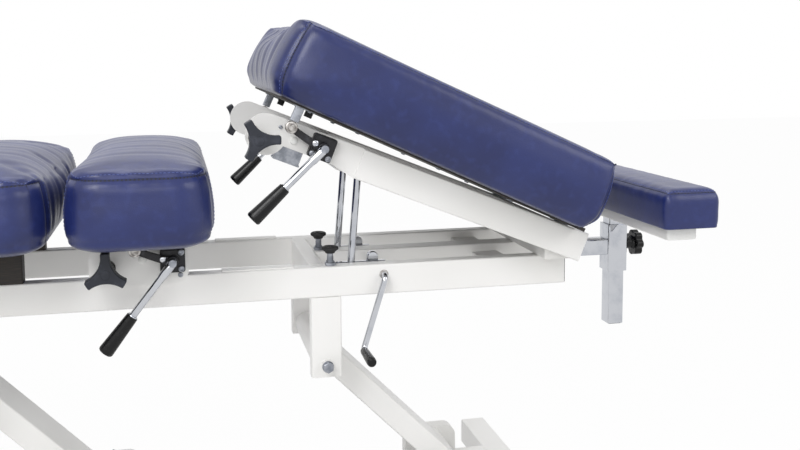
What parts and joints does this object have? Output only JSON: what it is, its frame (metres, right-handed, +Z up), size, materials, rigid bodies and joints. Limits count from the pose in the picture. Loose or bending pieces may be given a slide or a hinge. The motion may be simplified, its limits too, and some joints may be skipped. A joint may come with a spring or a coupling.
{
  "type": "chiropractic table",
  "caption": "Treatment table on a parallelogram lift, with a tilting drop pelvic section, a drop lumbar section, a fixed thoracic pad, a sliding foot rest and a tilting split head piece",
  "frame": {"origin": "centre of the bounding box in plan, on the floor under the levelling feet", "axes": "+X towards the foot end, +Y across the table to the far side, +Z up"},
  "size_m": [1.753, 0.542, 0.9137],
  "materials": {
    "white_paint": "smooth white powder coat, semi-gloss",
    "blue_vinyl": "fine grained upholstery vinyl, satin",
    "chrome": "polished",
    "zinc": "zinc plated",
    "black_plastic": "moulded black plastic",
    "rubber": "matt",
    "board": "sealed plywood, dark"
  },
  "bodies": {
    "base": {"base_rail_near": "white_paint", "base_rail_far": "white_paint", "base_cross_foot": "white_paint", "base_cross_head": "white_paint", "floor_feet": "rubber", "actuator": "black_plastic"},
    "foot_end_arm": {"foot_arm": "white_paint", "foot_arm_top_tube": "white_paint", "foot_arm_low_tube": "white_paint"},
    "head_end_arm": {"head_arm": "white_paint", "head_arm_top_tube": "white_paint", "head_arm_low_tube": "white_paint"},
    "lift_actuator_rod": {"lift_rod": "chrome"},
    "upper_frame": {"rail_near": "white_paint", "rail_mid": "white_paint", "rail_far": "white_paint", "cross_front": "white_paint", "cross_rear": "white_paint", "hinge_beam": "white_paint", "cross_head": "white_paint", "bracket_foot_near": "white_paint", "bracket_foot_far": "white_paint", "bracket_head_near": "white_paint", "bracket_head_far": "white_paint", "bumpers": "rubber", "clamp_plates": "chrome", "clamp_fixings": "chrome", "lumbar_plate_near": "white_paint", "lumbar_plate_far": "white_paint", "lumbar_blocks": "black_plastic", "thoracic_board": "board", "thoracic_cushion": "blue_vinyl"},
    "pelvic_carriage": {"carriage_side_near": "white_paint", "carriage_side_far": "white_paint", "carriage_cross": "white_paint", "pelvic_blocks": "black_plastic"},
    "props": {"prop_rod_near": "chrome", "prop_rod_far": "chrome"},
    "prop_clamp_crank": {"clamp_crank": "chrome"},
    "pelvic_pad": {"pelvic_board": "board", "pelvic_cushion": "blue_vinyl"},
    "pelvic_cocker": {"pelvic_shaft": "zinc", "pelvic_lever_near": "chrome", "pelvic_lever_far": "chrome"},
    "lumbar_pad": {"lumbar_board": "board", "lumbar_cushion": "blue_vinyl"},
    "lumbar_cocker": {"lumbar_shaft": "zinc", "lumbar_lever_near": "chrome", "lumbar_lever_far": "chrome"},
    "lumbar_tension_near": {"lumbar_knob_near": "black_plastic"},
    "lumbar_tension_far": {"lumbar_knob_far": "black_plastic"},
    "pelvic_tension_near": {"pelvic_knob_near": "black_plastic"},
    "pelvic_tension_far": {"pelvic_knob_far": "black_plastic"},
    "foot_slide": {"foot_bar": "chrome"},
    "foot_rest": {"foot_post": "white_paint", "foot_cushion": "blue_vinyl"},
    "foot_lock": {"foot_knob": "black_plastic"},
    "head_carrier": {"head_frame": "white_paint"},
    "head_piece": {"head_board": "board", "head_cushion_near": "blue_vinyl", "head_cushion_far": "blue_vinyl"}
  },
  "joints": [
    {"name": "lift", "type": "hinge", "parent": "base", "child": "foot_end_arm", "pos_m": [0.48838, 0, 0.115], "axis": [0, 1, 0], "range_deg": [-31, 28]},
    {"name": "head_end_arm_swing", "type": "hinge", "parent": "base", "child": "head_end_arm", "pos_m": [-0.11162, 0, 0.115], "axis": [0, 1, 0], "range_deg": [-31, 28]},
    {"name": "frame_level", "type": "hinge", "parent": "foot_end_arm", "child": "upper_frame", "pos_m": [0.2515, 0, 0.35188], "axis": [0, 1, 0], "range_deg": [-28, 31]},
    {"name": "actuator_stroke", "type": "slide", "parent": "base", "child": "lift_actuator_rod", "axis": [1, 0, 0], "range_m": [-0.0378, 0.0418]},
    {"name": "pelvic_tilt", "type": "hinge", "parent": "upper_frame", "child": "pelvic_carriage", "pos_m": [0.6215, 0, 0.55488], "axis": [0, 1, 0], "range_deg": [-20, 0]},
    {"name": "prop_swing", "type": "hinge", "parent": "pelvic_carriage", "child": "props", "pos_m": [0.31245, 0, 0.67489], "axis": [0, 1, 0], "range_deg": [0, 20]},
    {"name": "prop_clamp", "type": "hinge", "parent": "upper_frame", "child": "prop_clamp_crank", "pos_m": [0.3475, 0, 0.49788], "axis": [0, 1, 0], "range_deg": [-40, 60]},
    {"name": "pelvic_drop", "type": "hinge", "parent": "pelvic_carriage", "child": "pelvic_pad", "pos_m": [0.6513, 0, 0.56538], "axis": [0, 1, 0], "range_deg": [-1.6, 0]},
    {"name": "pelvic_cocking", "type": "hinge", "parent": "pelvic_carriage", "child": "pelvic_cocker", "pos_m": [0.23859, 0, 0.71498], "axis": [0, 1, 0], "range_deg": [-13.6, 0]},
    {"name": "lumbar_drop", "type": "slide", "parent": "upper_frame", "child": "lumbar_pad", "axis": [0, 0, 1], "range_m": [-0.01, 0]},
    {"name": "lumbar_cocking", "type": "hinge", "parent": "upper_frame", "child": "lumbar_cocker", "pos_m": [0.0095, 0, 0.54247], "axis": [0, 1, 0], "range_deg": [-10.2, 0]},
    {"name": "lumbar_tension_near_turn", "type": "hinge", "parent": "upper_frame", "child": "lumbar_tension_near", "pos_m": [-0.0889, -0.16, 0.53388], "axis": [0, 1, 0], "continuous": true},
    {"name": "lumbar_tension_far_turn", "type": "hinge", "parent": "upper_frame", "child": "lumbar_tension_far", "pos_m": [-0.0889, 0.16, 0.53388], "axis": [0, 1, 0], "continuous": true},
    {"name": "pelvic_tension_near_turn", "type": "hinge", "parent": "pelvic_carriage", "child": "pelvic_tension_near", "pos_m": [0.13919, -0.21, 0.73217], "axis": [0, 1, 0], "continuous": true},
    {"name": "pelvic_tension_far_turn", "type": "hinge", "parent": "pelvic_carriage", "child": "pelvic_tension_far", "pos_m": [0.13919, 0.21, 0.73217], "axis": [0, 1, 0], "continuous": true},
    {"name": "foot_reach", "type": "slide", "parent": "upper_frame", "child": "foot_slide", "axis": [1, 0, 0], "range_m": [-0.03, 0.15]},
    {"name": "foot_height", "type": "slide", "parent": "foot_slide", "child": "foot_rest", "axis": [0, 0, 1], "range_m": [-0.015, 0.07]},
    {"name": "foot_lock_turn", "type": "hinge", "parent": "foot_slide", "child": "foot_lock", "pos_m": [0.8625, 0, 0.49788], "axis": [1, 0, 0], "continuous": true},
    {"name": "head_reach", "type": "slide", "parent": "upper_frame", "child": "head_carrier", "axis": [-1, 0, 0], "range_m": [0, 0.08]},
    {"name": "head_tilt", "type": "hinge", "parent": "head_carrier", "child": "head_piece", "pos_m": [-0.6115, 0, 0.55488], "axis": [0, 1, 0], "range_deg": [-30, 5]}
  ],
  "couplings": [
    {"joint": "head_end_arm_swing", "follows": "lift", "ratio": 1},
    {"joint": "frame_level", "follows": "lift", "ratio": -1},
    {"joint": "actuator_stroke", "follows": "lift", "m_per_rad": -0.0765},
    {"joint": "prop_swing", "follows": "pelvic_tilt", "ratio": -1},
    {"joint": "pelvic_cocking", "follows": "pelvic_drop", "ratio": 8.4},
    {"joint": "lumbar_cocking", "follows": "lumbar_drop", "rad_per_m": 17.5}
  ]
}
